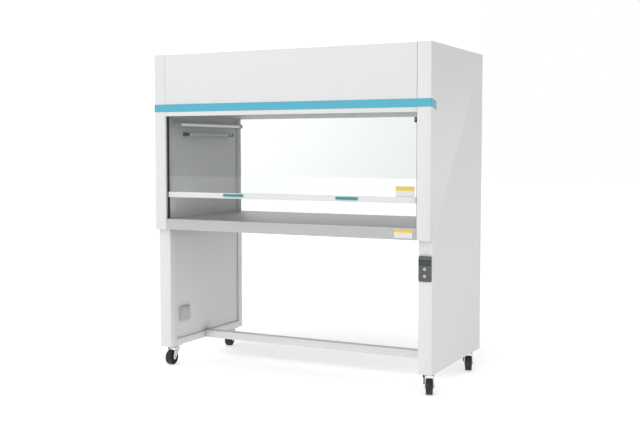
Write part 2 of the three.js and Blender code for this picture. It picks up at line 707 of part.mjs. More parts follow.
function powerInlet() {
  const [x, z] = inletOpening(0);
  const face = rearPanelY + INLET_PROUD;
  const body = block(x, [rearPanelY - REAR_PANEL_DEPTH * 1.5, face], z);
  const flange = block(grown(x, INLET_FLANGE), [rearPanelY + GAP, face], grown(z, INLET_FLANGE));
  const mouth = block(grown(x, -3), [rearPanelY - REAR_PANEL_DEPTH, face + 1], grown(z, -3));
  return body.add(flange).subtract(mouth);
}

function rearGlass() {
  const back = rearPanelY - GAP;
  const y = [back - REAR_GLASS_THICKNESS, back];
  return block([-fitX, fitX], y, [WORKTOP_TOP_Z + GAP, ceilingSheetZ - GAP * 2]);
}

function backPieces() {
  return [
    piece("rear_upper_panel", rearPanel(), whitePaint()),
    piece("rear_glass", rearGlass(), clearGlass()),
    piece("power_inlet", powerInlet(), blackPlastic()),
  ];
}

// ---------------------------------------------------------------- lamps
// A lamp runs from front to back along the left wall: a tube between the two holders of a batten.
function lampPieces(name, { radius, drop, insets, material }) {
  const axisX = -innerX + LAMP_STANDOFF;
  const z = ceilingZ - drop;
  const holderHalf = radius + LAMP_HOLDER_MARGIN;
  const y = [frontY + insets[0], rearY - insets[1]];
  const baseX = [-fitX, -fitX + LAMP_STANDOFF / 3];
  const base = block(baseX, y, [z - radius, z + radius]);
  const holders = [y[0], y[1] - LAMP_HOLDER].map((low) =>
    block([-fitX, axisX + holderHalf], [low, low + LAMP_HOLDER], [z - holderHalf, z + holderHalf]),
  );
  const tubeY = grown(y, -LAMP_HOLDER - GAP);
  const tube = rod(radius, "y", tubeY, 14).translate([axisX, 0, z]);
  return [
    piece(`${name}_batten`, joined([base, ...holders]), greyPlastic()),
    piece(`${name}_tube`, tube, material),
  ];
}

function chamberLamps() {
  const led = { radius: LED_RADIUS, drop: LED_DROP, insets: LED_INSETS };
  const uv = { radius: UV_RADIUS, drop: UV_DROP, insets: UV_INSETS };
  return [
    ...lampPieces("led", { ...led, material: lampGlass() }),
    ...lampPieces("uv", { ...uv, material: clearGlass() }),
  ];
}

// ---------------------------------------------------------------- controls and socket
function controlPieces() {
  const back = legFrontY - GAP;
  const face = back - PANEL_THICKNESS;
  const x = [panelMiddleX - PANEL_WIDTH / 2, panelMiddleX + PANEL_WIDTH / 2];
  const z = [panelTopZ - PANEL_HEIGHT, panelTopZ];
  const displayX = [panelMiddleX - DISPLAY_WIDTH / 2, panelMiddleX + DISPLAY_WIDTH / 2];
  const displayMiddle = panelTopZ - DISPLAY_DROP;
  const displayZ = [displayMiddle - DISPLAY_HEIGHT / 2, displayMiddle + DISPLAY_HEIGHT / 2];
  const recessY = [face - 1, face + DISPLAY_RECESS];
  const recess = block(grown(displayX, GAP), recessY, grown(displayZ, GAP));
  const atButton = (solid, drop) => solid.translate([panelMiddleX, 0, panelTopZ - drop]);
  const bores = BUTTON_DROPS.map((drop) =>
    atButton(rod(BUTTON_RADIUS + GAP * 1.5, "y", [face - 1, back + 1]), drop),
  );
  const plate = cut(prism(roundedOutline(x, z, BEND_RADIUS), "y", [face, back]), [recess, ...bores]);
  const buttonFace = face - BUTTON_PROUD;
  const buttons = BUTTON_DROPS.map((drop) =>
    atButton(rod(BUTTON_RADIUS, "y", [buttonFace, buttonFace + BUTTON_LENGTH]), drop),
  );
  const screen = block(displayX, [face + DISPLAY_SETBACK, recessY[1] - GAP], displayZ);
  return [
    piece("control_panel", plate, darkPanel()),
    piece("control_display", screen, blackPlastic()),
    piece("control_button_upper", buttons[0], greyPlastic()),
    piece("control_button_lower", buttons[1], greyPlastic()),
  ];
}

// The socket stands on the left leg's inner panel, and its flap hangs from the top of its face.
function socketPieces() {
  const back = -linerX + GAP;
  const face = back + SOCKET_THICKNESS;
  const middleY = legWindow.y[0] + SOCKET_FROM_FRONT;
  const middleZ = legWindow.z[0] + SOCKET_FROM_BOTTOM;
  const y = [middleY - SOCKET_WIDTH / 2, middleY + SOCKET_WIDTH / 2];
  const z = [middleZ - SOCKET_HEIGHT / 2, middleZ + SOCKET_HEIGHT / 2];
  const plate = prism(roundedOutline(y, z, BEND_RADIUS), "x", [back, face]);
  const recessY = grown(y, -SOCKET_BORDER * 1.6);
  const recessZ = grown(z, -SOCKET_BORDER * 1.6);
  const recess = block([face - SOCKET_RECESS, face + 1], recessY, recessZ);
  const flapX = [face + GAP, face + GAP + FLAP_THICKNESS];
  const flap = prism(roundedOutline(grown(y, -SOCKET_BORDER), grown(z, -SOCKET_BORDER), 3), "x", flapX);
  return [
    piece("socket_body", plate.subtract(recess), greyPlastic()),
    piece("socket_flap", flap, greyPlastic()),
  ];
}

// ---------------------------------------------------------------- castors
// Each castor is drawn about its own kingpin, trailing towards -Y, and then turned to its heading.
const crownZ = [crownTopZ - CROWN_THICKNESS, crownTopZ];
const plateZ = [racewayZ + RACEWAY_HEIGHT, footZ - GAP];

function castorPlate() {
  const half = CASTOR_PLATE / 2;
  const plate = prism(roundedOutline([-half, half], [-half, half], BEND_RADIUS), "z", plateZ);
  const raceway = rod(RACEWAY_RADIUS, "z", [racewayZ, plateZ[1] - 1]);
  const kingpin = rod(KINGPIN_RADIUS, "z", [crownZ[0] - KINGPIN_PROUD, plateZ[1] - 1], 12);
  return joined([plate, raceway, kingpin]);
}

const brakeTopZ = crownZ[0] - BRAKE_DROP;
const forkInner = TYRE_WIDTH / 2 + RUNNING_GAP * 1.5;
const forkOuter = forkInner + FORK_PLATE;

function castorFork() {
  const crown = rod(forkOuter + 1, "z", crownZ);
  const cheek = new THREE.Shape();
  cheek.moveTo(CHEEK_FRONT, crownTopZ - 1);
  cheek.lineTo(-RACEWAY_RADIUS, crownTopZ - 1);
  cheek.lineTo(-TRAIL - FORK_BOSS_RADIUS, axleZ + FORK_BOSS_RADIUS);
  cheek.absarc(-TRAIL, axleZ, FORK_BOSS_RADIUS, Math.PI, Math.PI * 1.75);
  cheek.lineTo(CHEEK_FRONT - 5, crownZ[0] - CHEEK_DROP);
  const cheeks = [[-forkOuter, -forkInner], [forkInner, forkOuter]].map((x) => prism(cheek, "x", x, 5));
  const nutX = [forkOuter - 1, forkOuter - 1 + AXLE_NUT_HEIGHT];
  const atAxle = (solid) => solid.translate([0, -TRAIL, axleZ]);
  const axle = atAxle(rod(AXLE_RADIUS, "x", [-forkOuter - 1, nutX[1]], 12));
  const nut = atAxle(rod(AXLE_RADIUS * 1.8, "x", nutX, 6));
  const pinHole = rod(KINGPIN_RADIUS + RUNNING_GAP / 2, "z", grown(crownZ, 1), 12);
  return joined([crown, ...cheeks, axle, nut]).subtract(pinHole);
}

function castorWheel() {
  const half = TYRE_WIDTH / 2;
  const bore = AXLE_RADIUS + RUNNING_GAP / 2;
  const web = half - WEB_RECESS;
  const right = [
    [bore, half],
    [HUB_RADIUS, half],
    [HUB_RADIUS + 2, web],
    [rimRadius - 2, web],
    [rimRadius, half],
    [TYRE_RADIUS - 3.5, half],
    [TYRE_RADIUS, half - 5],
  ];
  const left = right.map(([radius, along]) => [radius, -along]);
  const profile = [...left, ...right.reverse(), left[0]];
  return turned(profile, "x", 20).translate([0, -TRAIL, axleZ]);
}

// The brake lever hangs on the outside of the fork's left cheek, with a tread on top.
function castorBrake() {
  const near = -forkOuter - RUNNING_GAP * 1.5;
  const far = near - BRAKE_THICKNESS;
  const shoeZ = axleZ + BRAKE_SHOE_LIFT;
  const treadY = [-BRAKE_TREAD_LENGTH + 4, 4];
  const treadZ = [brakeTopZ - BRAKE_TREAD_THICKNESS, brakeTopZ];
  const lever = outlineOf([
    [treadY[0] - 4, shoeZ + 2],
    [treadY[0] + 8, shoeZ],
    [treadY[1], treadZ[0] - 2],
    [treadY[1], brakeTopZ],
    [treadY[0], brakeTopZ],
    [treadY[0], treadZ[0] - 2],
  ]);
  const arm = prism(lever, "x", [far, near]);
  const tread = block([far - BRAKE_TREAD_PROUD, near], treadY, treadZ);
  return arm.add(tread);
}

function castor({ name, sideX, sideY, heading }) {
  const group = new THREE.Group();
  const middleY = (legFrontY + rearY) / 2;
  const halfSpread = (rearY - legFrontY) / 2 - CASTOR_INSET_Y;
  const plate = piece(`${name}_plate`, castorPlate(), zincPlate());
  const swivel = new THREE.Group();
  swivel.rotation.z = THREE.MathUtils.degToRad(heading);
  swivel.add(
    piece(`${name}_fork`, castorFork(), zincPlate()),
    piece(`${name}_wheel`, castorWheel(), blackRubber()),
    piece(`${name}_brake`, castorBrake(), blackPlastic()),
  );
  group.position.set(sideX * (bodyHalf - CASTOR_INSET_X), middleY + sideY * halfSpread, 0);
  group.add(plate, swivel);
  return group;
}

// ---------------------------------------------------------------- the whole bench
const bench = new THREE.Group();
bench.add(
  ...sidePieces(),
  ...cabinetPieces(),
  ...sashPieces(),
  ...headPieces(),
  ...backPieces(),
  ...chamberLamps(),
  ...controlPieces(),
  ...socketPieces(),
  ...CASTORS.map(castor),
);

export default bench;
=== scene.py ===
# %% [markdown]
# # A two-person clean bench
# The bench is a folded-steel cabinet on four braked castors. A blower in its head presses air
# down through a filter onto a stainless worktop, and a counterbalanced glass sash closes the
# front. The frame below brings in every working part at its real size, in metres. This lesson
# gives the parts their finishes, and adds the small pieces that a maker fits last: rounded
# edges, screws, rivets, labels, lamp ends, and castors with their tyres, hubs and treads.

# %% Load the frame
import json
import math
from contextlib import contextmanager

import bmesh
import bpy
from mathutils import Matrix, Vector


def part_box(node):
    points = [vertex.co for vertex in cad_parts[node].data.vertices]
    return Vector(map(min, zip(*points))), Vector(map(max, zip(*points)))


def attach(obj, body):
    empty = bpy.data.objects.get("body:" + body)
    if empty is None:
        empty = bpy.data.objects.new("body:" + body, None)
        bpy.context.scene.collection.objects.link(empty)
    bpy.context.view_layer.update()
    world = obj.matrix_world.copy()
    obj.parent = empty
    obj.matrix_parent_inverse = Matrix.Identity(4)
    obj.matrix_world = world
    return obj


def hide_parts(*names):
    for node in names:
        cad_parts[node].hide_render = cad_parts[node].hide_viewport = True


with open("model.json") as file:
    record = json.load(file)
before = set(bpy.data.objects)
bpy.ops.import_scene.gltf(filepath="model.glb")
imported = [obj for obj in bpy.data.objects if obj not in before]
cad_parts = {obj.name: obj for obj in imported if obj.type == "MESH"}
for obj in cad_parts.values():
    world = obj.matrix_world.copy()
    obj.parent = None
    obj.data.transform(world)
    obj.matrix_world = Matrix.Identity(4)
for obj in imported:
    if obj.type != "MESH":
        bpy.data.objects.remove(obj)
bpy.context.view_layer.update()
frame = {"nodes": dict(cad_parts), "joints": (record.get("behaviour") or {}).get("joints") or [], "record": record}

MM = 0.001
nodes = frame["nodes"]
node_slot = {part["node"]: part["material_slot"] for part in frame["record"]["subparts"]}
body_parts = frame["record"]["behaviour"]["bodies"]
node_body = {node: body for body, names in body_parts.items() for node in names}

# %% [markdown]
# ## The camera
# A product picture of a bench this size is taken from a few metres off, at about chest height,
# a little to the right, so that the right side shows and the left inner wall can be seen. A
# medium-long lens keeps the uprights nearly parallel.

# %% Place the camera
CAMERA_PLACE = (2.2857, -4.4957, 1.1247)
CAMERA_TURN = math.radians(26.833)
CAMERA_TILT = math.radians(3.716)
CAMERA_LENS = 55.456  # mm, over a sensor of SENSOR_WIDTH
SENSOR_WIDTH = 36
VIEW_DEPTH = 200


def place_camera():
    data = bpy.data.cameras.new("camera")
    data.lens = CAMERA_LENS
    data.sensor_width = SENSOR_WIDTH
    data.clip_end = VIEW_DEPTH
    camera = bpy.data.objects.new("camera", data)
    camera.location = CAMERA_PLACE
    camera.rotation_euler = (math.pi / 2 - CAMERA_TILT, 0, CAMERA_TURN)
    bpy.context.scene.collection.objects.link(camera)
    bpy.context.scene.camera = camera
    print("camera", round(math.dist(CAMERA_PLACE[:2], (0, 0)), 2), "m from the bench's middle")


place_camera()

# %% [markdown]
# ## Shader sums as plain expressions
# A material is a graph of nodes, and written out link by link it is hard to read. One small
# class wraps a node's output and overloads the operators, so that a sum on wrapped values adds
# its own Math nodes. A second class holds one material and makes every other kind of node.

# %% Values that add their own Math nodes
class Value:
    """A number that a node gives out. Sums on it add Math nodes."""

    def __init__(self, tree, socket):
        self.tree = tree
        self.socket = socket

    def math(self, operation, *terms):
        node = self.tree.nodes.new("ShaderNodeMath")
        node.operation = operation
        for socket, term in zip(node.inputs, terms):
            feed(self.tree, socket, term)
        return Value(self.tree, node.outputs[0])

    def __add__(self, other):
        return self.math("ADD", self, other)

    def __radd__(self, other):
        return self.math("ADD", other, self)

    def __sub__(self, other):
        return self.math("SUBTRACT", self, other)

    def __rsub__(self, other):
        return self.math("SUBTRACT", other, self)

    def __mul__(self, other):
        return self.math("MULTIPLY", self, other)

    def __rmul__(self, other):
        return self.math("MULTIPLY", other, self)

    def above(self, limit):
        return self.math("GREATER_THAN", self, limit)

    def below(self, limit):
        return self.math("LESS_THAN", self, limit)

    def larger(self, other):
        return self.math("MAXIMUM", self, other)

    def wave(self):
        return self.math("SINE", self)

    def size(self):
        return self.math("ABSOLUTE", self)

    def step(self, low, high):
        """0 below low and 1 above high, with a smooth rise between."""
        node = self.tree.nodes.new("ShaderNodeMapRange")
        node.interpolation_type = "SMOOTHSTEP"
        for name, term in (("Value", self), ("From Min", low), ("From Max", high)):
            feed(self.tree, node.inputs[name], term)
        return Value(self.tree, node.outputs["Result"])


def feed(tree, socket, term):
    """Puts a number or colour on a socket, or links a wrapped value to it."""
    if isinstance(term, Value):
        tree.links.new(term.socket, socket)
    else:
        socket.default_value = term


# %% [markdown]
# The shader class keeps colours and directions out of the Math nodes, which would turn them
# grey: colours go through Mix, and directions through Vector Math.

# %% One class for a material's nodes
EDGE_SAMPLES = 4
EDGE_FADE = (0.02, 0.25)
CORNER_SAMPLES = 8
FINISHES = {}


class Shader:
    """The nodes of one material or of the world."""

    def __init__(self, tree):
        self.tree = tree
        tree.nodes.clear()

    def node(self, kind, settings=None, sockets=None, output=0):
        """Adds a node, sets it, fills its sockets and returns one of its outputs."""
        node = self.tree.nodes.new("ShaderNode" + kind)
        for name, value in (settings or {}).items():
            setattr(node, name, value)
        for name, term in (sockets or {}).items():
            feed(self.tree, node.inputs[name], term)
        return Value(self.tree, node.outputs[output]) if node.outputs else None

    def place(self, stretch=(1, 1, 1)):
        """Where a point lies on the bench, stretched for a pattern."""
        point = self.node("TexCoord", output="Object")
        return self.node("Mapping", None, {"Vector": point, "Scale": stretch})

    def axes(self, vector):
        node = self.tree.nodes.new("ShaderNodeSeparateXYZ")
        feed(self.tree, node.inputs[0], vector)
        return [Value(self.tree, output) for output in node.outputs]

    def noise(self, point, scale, detail, roughness=0.5):
        sockets = {"Vector": point, "Scale": scale, "Detail": detail, "Roughness": roughness}
        return self.node("TexNoise", None, sockets)

    def cells(self, point, scale):
        """Flat cells, each of its own random colour."""
        return self.node("TexVoronoi", None, {"Vector": point, "Scale": scale}, "Color")

    def mix(self, share, first, second):
        """A colour between two colours."""
        sockets = {0: share, 6: first, 7: second}
        return self.node("Mix", {"data_type": "RGBA"}, sockets, 2)

    def tinted(self, colour, amount, pattern):
        """A colour that gets darker by amount where the pattern is low."""
        dark = [channel * (1 - amount) for channel in colour]
        return self.mix(pattern, (*dark, 1), (*colour, 1))

    def bump(self, height, depth):
        """A normal that rises and falls with height, by depth metres."""
        return self.node("Bump", None, {"Height": height, "Distance": depth})

    def worn_edges(self, radius):
        """1 on sharp edges and 0 on flat faces."""
        soft = self.node("Bevel", {"samples": EDGE_SAMPLES}, {"Radius": radius}, "Normal")
        sharp = self.node("NewGeometry", output="Normal")
        along = self.node("VectorMath", {"operation": "DOT_PRODUCT"}, {0: soft, 1: sharp}, "Value")
        return (1 - along).step(*EDGE_FADE)

    def openness(self, reach):
        """1 on an open face, and less in corners and under ledges, as far out as reach."""
        settings = {"samples": CORNER_SAMPLES}
        return self.node("AmbientOcclusion", settings, {"Distance": reach}, "AO")


class Finish(Shader):
    """One material that ends in a Principled shader. Constants go straight on its sockets."""

    def __init__(self, slot, **constants):
        self.material = bpy.data.materials.new(slot)
        self.material.use_nodes = True
        super().__init__(self.material.node_tree)
        surface = self.node("BsdfPrincipled")
        self.principled = surface.socket.node
        self.node("OutputMaterial", None, {"Surface": surface})
        self.set(**constants)
        FINISHES[slot] = self.material

    def set(self, **terms):
        for name, term in terms.items():
            feed(self.tree, self.principled.inputs[name.replace("_", " ")], term)


# %% [markdown]
# ## Studio
# The bench stands on a pale floor in an even white studio. Large softboxes hang round it, and
# a weak even light fills the rest. Each softbox here is a soft patch on the sky, given by the
# way it stands from the bench, its breadth and its strength. The one high over the front is
# the strongest, so the shade falls under the worktop and the column's shoulders, and the one on
# the right is the weakest. The camera itself sees plain white behind.

# %% Light the studio and lay the floor
EVEN_LIGHT = 0.14
# Degrees from a softbox's middle to where it fades out, and to where it is at full strength.
WIDE = (57, 18)
SLIM = (38, 22)
SMALL = (22, 10)
SOFTBOXES = [
    ((0, -0.37, 0.93), SMALL, 1.2),
    ((0, -0.65, 0.75), WIDE, 0.9),
    ((0, -1, 0.15), SLIM, 0.3),
    ((-0.87, -0.49, 0.15), SLIM, 0.5),
    ((-1, 0.3, 0.2), WIDE, 0.95),
    ((0, 1, 0.1), WIDE, 0.85),
    ((1, 0, 0.2), WIDE, 0.2),
]
FLOOR_SIZE = 60
FLOOR_GLOW = 0.45


def softbox_light(direction):
    """How much light comes from a direction on the sky, over all the softboxes."""
    x, y, z = direction
    light = EVEN_LIGHT
    for place, (edge, core), strength in SOFTBOXES:
        across, along, up = Vector(place).normalized()
        towards = x * across + y * along + z * up
        patch = towards.step(math.cos(math.radians(edge)), math.cos(math.radians(core)))
        light = light + patch * strength
    return light


def light_studio():
    world = bpy.data.worlds.new("studio")
    world.use_nodes = True
    bpy.context.scene.world = world
    shader = Shader(world.node_tree)
    direction = shader.axes(shader.node("TexCoord", output="Generated"))
    light = softbox_light(direction)
    seen = shader.node("LightPath", output="Is Camera Ray")
    background = shader.node("Background", None, {"Color": (1, 1, 1, 1), "Strength": light.larger(seen)})
    shader.node("OutputWorld", None, {"Surface": background})
    bpy.context.scene.view_settings.view_transform = "Standard"
    print(len(SOFTBOXES), "softboxes and an even light of", EVEN_LIGHT)


def lay_floor():
    bpy.ops.object.select_all(action="DESELECT")
    bpy.ops.mesh.primitive_plane_add(size=FLOOR_SIZE)
    floor = bpy.context.object
    floor.name = "studio_floor"
    glow = {"Emission_Color": (1, 1, 1, 1), "Emission_Strength": FLOOR_GLOW}
    paint = Finish("studio_floor", Roughness=0.9, **glow)
    grain = paint.noise(paint.place(), 40, 3)
    paint.set(Base_Color=paint.tinted((0.86, 0.86, 0.86), 0.02, grain))
    floor.data.materials.append(FINISHES["studio_floor"])
    print("floor", FLOOR_SIZE, "m across")


light_studio()
lay_floor()

# %% [markdown]
# ## White powder coat
# Powder paint is sprayed dry and baked, so it flows into a faint orange peel, a ripple a
# millimetre or two long. The coat here is satin: its roughness wanders a little with handling,
# and it thins and greys very slightly along the sharp folds. Shade is also painted into its
# colour: the coat is darker in corners and under ledges, which an occlusion node finds.

# %% White powder coat
WHITE = (0.80, 0.805, 0.81)
WORN_GREY = (0.62, 0.63, 0.64, 1)
# The dark grey that the coat is painted towards in corners and under ledges: painted shade.
PAINTED_SHADE_GREY = (0.16, 0.16, 0.165, 1)
WEAR_WIDTH = 0.0012
CORNER_REACH = 0.07
CORNER_SHADE = 0.6


def powder_coat():
    coat = Finish("white_powder_coat", Specular_IOR_Level=0.45)
    point = coat.place()
    peel = coat.noise(point, 650, 2)
    handling = coat.noise(point, 3.2, 4, 0.6)
    dust = coat.noise(point, 90, 3)
    edges = coat.worn_edges(WEAR_WIDTH) * coat.noise(point, 160, 3).step(0.4, 0.7)
    clean = coat.tinted(WHITE, 0.025, handling * 0.7 + dust * 0.3)
    worn = coat.mix(edges * 0.35, clean, WORN_GREY)
    # Painted shade: the base colour goes towards dark grey in corners and under ledges, as far as the occlusion
    # node reaches.
    corners = (1 - coat.openness(CORNER_REACH)) * CORNER_SHADE
    coat.set(
        Base_Color=coat.mix(corners, worn, PAINTED_SHADE_GREY),
        Roughness=0.42 + handling * 0.12 + dust * 0.06 + edges * 0.15,
        Normal=coat.bump(peel, 0.00006),
    )


powder_coat()
print("powder coat", WHITE)

# %% [markdown]
# ## Trims and plastics
# The band over the header is a satin printed film, the grips are moulded, and the dark parts
# are moulded or pressed too. Moulded plastic has a fine spark-eroded grain, and its shine
# varies a little where hands polish it. One function makes them all, with the grain, the
# polish and the tone of each given by name.

# %% Moulded plastics and films
def moulded(slot, colour, roughness, grain=1400, depth=0.00004, polish=0.1, variation=0.08):
    plastic = Finish(slot, Specular_IOR_Level=0.5)
    point = plastic.place()
    fine = plastic.noise(point, grain, 2)
    handled = plastic.noise(point, 14, 4, 0.6)
    rubbed = plastic.worn_edges(0.0008)
    base = plastic.tinted(colour, variation, handled * 0.6 + fine * 0.4)
    lighter = tuple(min(1, channel * 1.25 + 0.02) for channel in colour)
    plastic.set(
        Base_Color=plastic.mix(rubbed * 0.4, base, (*lighter, 1)),
        Roughness=roughness - polish / 2 + handled * polish + fine * 0.05,
        Normal=plastic.bump(fine, depth),
    )


moulded("cyan_trim", (0.10, 0.48, 0.63), 0.32, grain=900, depth=0.00002)
moulded("teal_plastic", (0.03, 0.31, 0.34), 0.38)
moulded("guide_plastic", (0.016, 0.016, 0.018), 0.45)
moulded("lamp_batten", (0.55, 0.56, 0.57), 0.42)
moulded("panel_plastic", (0.105, 0.11, 0.115), 0.5, grain=1900)
moulded("button_plastic", (0.5, 0.51, 0.52), 0.45)
moulded("socket_plastic", (0.56, 0.57, 0.58), 0.42)
moulded("brake_plastic", (0.014, 0.014, 0.016), 0.48)
print(len(FINISHES), "finishes so far")

# %% [markdown]
# ## Metals
# The worktop is stainless sheet with a grained finish: fine straight scratches that all run
# along its length. They are a noise pattern stretched along X, and they feed the tone, the
# shine and a very shallow bump. The hidden sheet is galvanised, with flat zinc crystals a
# centimetre across, each of its own brightness. The castors and shafts are bright zinc.

# %% Grained stainless, galvanised sheet and bright zinc
def grained_stainless():
    steel = Finish("stainless_worktop", Metallic=1.0)
    fine = steel.noise(steel.place((6, 900, 900)), 1, 3, 0.6)
    coarse = steel.noise(steel.place((2, 160, 160)), 1, 2)
    cloudy = steel.noise(steel.place(), 4, 4, 0.6)
    scratches = fine * 0.65 + coarse * 0.35
    tone = scratches * 0.7 + cloudy * 0.3
    steel.set(
        Base_Color=steel.tinted((0.62, 0.625, 0.63), 0.2, tone),
        Roughness=0.42 + scratches * 0.16 + cloudy * 0.06,
        Normal=steel.bump(scratches, 0.00004),
    )


def galvanised():
    zinc = Finish("galvanised_sheet", Metallic=0.9)
    point = zinc.place()
    crystals = zinc.axes(zinc.cells(point, 75))
    frost = zinc.noise(point, 420, 3)
    bright = crystals[0] * 0.7 + frost * 0.3
    zinc.set(
        Base_Color=zinc.tinted((0.6, 0.62, 0.64), 0.28, bright),
        Roughness=0.38 + crystals[1] * 0.18 + frost * 0.06,
        Normal=zinc.bump(crystals[2] * 0.5 + frost * 0.5, 0.00005),
    )


def bright_metal(slot, colour, roughness, streaks):
    metal = Finish(slot, Metallic=1.0)
    point = metal.place()
    turned = metal.noise(metal.place(streaks), 1, 3)
    marks = metal.noise(point, 70, 4, 0.65)
    dull = marks.step(0.55, 0.8)
    metal.set(
        Base_Color=metal.tinted(colour, 0.2, turned * 0.6 + (1 - dull) * 0.4),
        Roughness=roughness + turned * 0.1 + dull * 0.2,
        Normal=metal.bump(turned * 0.6 + marks * 0.4, 0.00004),
    )


grained_stainless()
galvanised()
bright_metal("bright_steel", (0.74, 0.75, 0.76), 0.2, (400, 400, 30))
bright_metal("zinc_plate", (0.68, 0.69, 0.71), 0.22, (300, 300, 300))
print(len(FINISHES), "finishes so far")

# %% [markdown]
# ## Rubber, filters and the display
# Tyre rubber is dull and nearly black, paler where it has rolled and picked up dust. The belts
# are smoother. The filter's paper and the pre-filter's wool scatter light softly, and the
# display is dark glossy plastic with a few smears.

# %% Rubber, fibres and the display's window
RUBBER_DUST = (0.2, 0.195, 0.185, 1)


def rubber(slot, colour, roughness, dusty):
    tread = Finish(slot, Specular_IOR_Level=0.4)
    point = tread.place()
    grain = tread.noise(point, 800, 3)
    dust = tread.noise(point, 60, 5, 0.65).step(0.35, 0.8)
    tread.set(
        Base_Color=tread.mix(dust * dusty, (*colour, 1), RUBBER_DUST),
        Roughness=roughness + grain * 0.1 + dust * 0.1,
        Normal=tread.bump(grain, 0.0001),
    )


def fibres(slot, colour):
    wool = Finish(slot, Roughness=0.95, Specular_IOR_Level=0.1)
    point = wool.place()
    threads = wool.noise(point, 500, 5, 0.7)
    clumps = wool.noise(point, 60, 3)
    wool.set(
        Base_Color=wool.tinted(colour, 0.16, threads * 0.7 + clumps * 0.3),
        Normal=wool.bump(threads, 0.0006),
    )


def display_window():
    window = Finish("display_window", Coat_Weight=0.6, Coat_Roughness=0.05)
    point = window.place()
    smears = window.noise(point, 120, 3)
    window.set(
        Base_Color=window.tinted((0.012, 0.045, 0.045), 0.3, smears),
        Roughness=0.16 + smears * 0.12,
    )


rubber("castor_tyre", (0.018, 0.018, 0.019), 0.62, 0.25)
rubber("belt_rubber", (0.02, 0.02, 0.022), 0.55, 0.1)
fibres("filter_media", (0.84, 0.84, 0.8))
display_window()
print(len(FINISHES), "finishes so far")

# %% [markdown]
# ## Glass
# A pane is clear because light goes through it twice, in and out. Cycles bends that light, and
# would throw a black shadow under the pane, so a shadow ray is let straight through instead.
# Float glass is faintly green through its thickness, and finger marks leave it a touch rougher.

# %% Window glass, the lamp's lens and quartz
def window_glass(slot, colour, haze=0.0):
    pane = Finish(slot, Transmission_Weight=1.0, IOR=1.5, Base_Color=(*colour, 1))
    point = pane.place()
    marks = pane.noise(point, 9, 4, 0.6).step(0.55, 0.85)
    pane.set(Roughness=haze + marks * 0.012)
    clear = pane.node("BsdfTransparent", None, {"Color": (*colour, 1)})
    shadow = pane.node("LightPath", output="Is Shadow Ray")
    surface = Value(pane.tree, pane.principled.outputs[0])
    both = pane.node("MixShader", None, {0: shadow, 1: surface, 2: clear})
    feed(pane.tree, pane.tree.get_output_node("ALL").inputs["Surface"], both)


def opal_lens():
    lens = Finish("led_lens", Roughness=0.25, Coat_Weight=0.3)
    lens.set(Emission_Color=(1, 1, 1, 1), Emission_Strength=0.15)
    ribs = lens.noise(lens.place((40, 1, 40)), 6, 2)
    lens.set(
        Base_Color=lens.tinted((0.9, 0.91, 0.92), 0.06, ribs),
        Normal=lens.bump(ribs, 0.0001),
    )


window_glass("sash_glazing", (0.95, 0.96, 0.96))
window_glass("rear_glazing", (0.95, 0.96, 0.96))
window_glass("uv_quartz", (0.9, 0.92, 0.94), haze=0.08)
opal_lens()
print(sorted(FINISHES))

# %% [markdown]
# ## Finishes on the working parts
# Each working part names the finish it takes. Its mesh stays as it is, and only its material
# slot is filled.

# %% Dress the working parts
def dress_working_parts():
    for name, node in nodes.items():
        node.data.materials.clear()
        node.data.materials.append(FINISHES[node_slot[name]])
    print("dressed", len(nodes), "parts")


dress_working_parts()

# %% [markdown]
# ## Tools for the small pieces
# A new piece starts as a box or a cylinder of the real size, is shaped in edit mode, and ends
# with its own mesh in place. An operator works on all that is selected, so everything is
# deselected first, and faces are then picked in code by where they are and which way they face.

# %% Select, edit and start a piece
PARALLEL = 0.99  # the least cosine between two directions that count as one
ON_AXIS = 0.05 * MM


@contextmanager
def editing(obj):
    """Edit mode on one object, with nothing selected in it yet."""
    alone(obj)
    bpy.ops.object.mode_set(mode="EDIT")
    bpy.ops.mesh.select_mode(type="FACE")
    bpy.ops.mesh.select_all(action="DESELECT")
    yield
    bpy.ops.object.mode_set(mode="OBJECT")


def alone(*objects):
    bpy.ops.object.select_all(action="DESELECT")
    for obj in objects:
        obj.select_set(True)
    bpy.context.view_layer.objects.active = objects[0]


def pick(obj, wanted):
    """Selects the faces whose middle and normal are wanted."""
    shape = bmesh.from_edit_mesh(obj.data)
    for face in shape.faces:
        face.select_set(bool(wanted(face.calc_center_median(), face.normal)))
    bmesh.update_edit_mesh(obj.data)


def facing(x, y, z):
    way = Vector((x, y, z))
    return lambda middle, normal: normal.dot(way) > PARALLEL


def end_faces(obj, axis):
    """The one or two faces that the piece's own axis passes through squarely."""
    way = Vector(axis)
    centre = sum((Vector(corner) for corner in obj.bound_box), Vector()) / 8

    def wanted(middle, normal):
        off_axis = (middle - centre).cross(way).length
        return abs(normal.dot(way)) > PARALLEL and off_axis < ON_AXIS

    return wanted


def block(name, low, high):
    """A box between two corners."""
    bpy.ops.object.select_all(action="DESELECT")
    middle = (Vector(low) + Vector(high)) / 2
    bpy.ops.mesh.primitive_cube_add(size=1, location=middle, scale=Vector(high) - Vector(low))
    bpy.ops.object.transform_apply()
    bpy.context.object.name = name
    return bpy.context.object


TURN_TO = {"X": (0, math.pi / 2, 0), "Z": (0, 0, 0)}


def cylinder(name, middle, radius, length, axis, sides):
    bpy.ops.object.select_all(action="DESELECT")
    bpy.ops.mesh.primitive_cylinder_add(
        vertices=sides, radius=radius, depth=length, location=middle, rotation=TURN_TO[axis]
    )
    bpy.ops.object.transform_apply()
    bpy.context.object.name = name
    return bpy.context.object


# %% [markdown]
# Nothing that is pressed, folded or moulded has a knife edge, and it is the thin highlight
# along an edge that tells the eye so. The Bevel modifier rounds every edge that is sharper than
# a limit, and hardened normals keep the flat faces flat in the light.

# %% Round edges and corners
CRISP_EDGE = 0.3 * MM
CAP_EDGE = 0.4 * MM
SOFT_EDGE = 0.5 * MM
ROUND_EDGE = 0.8 * MM


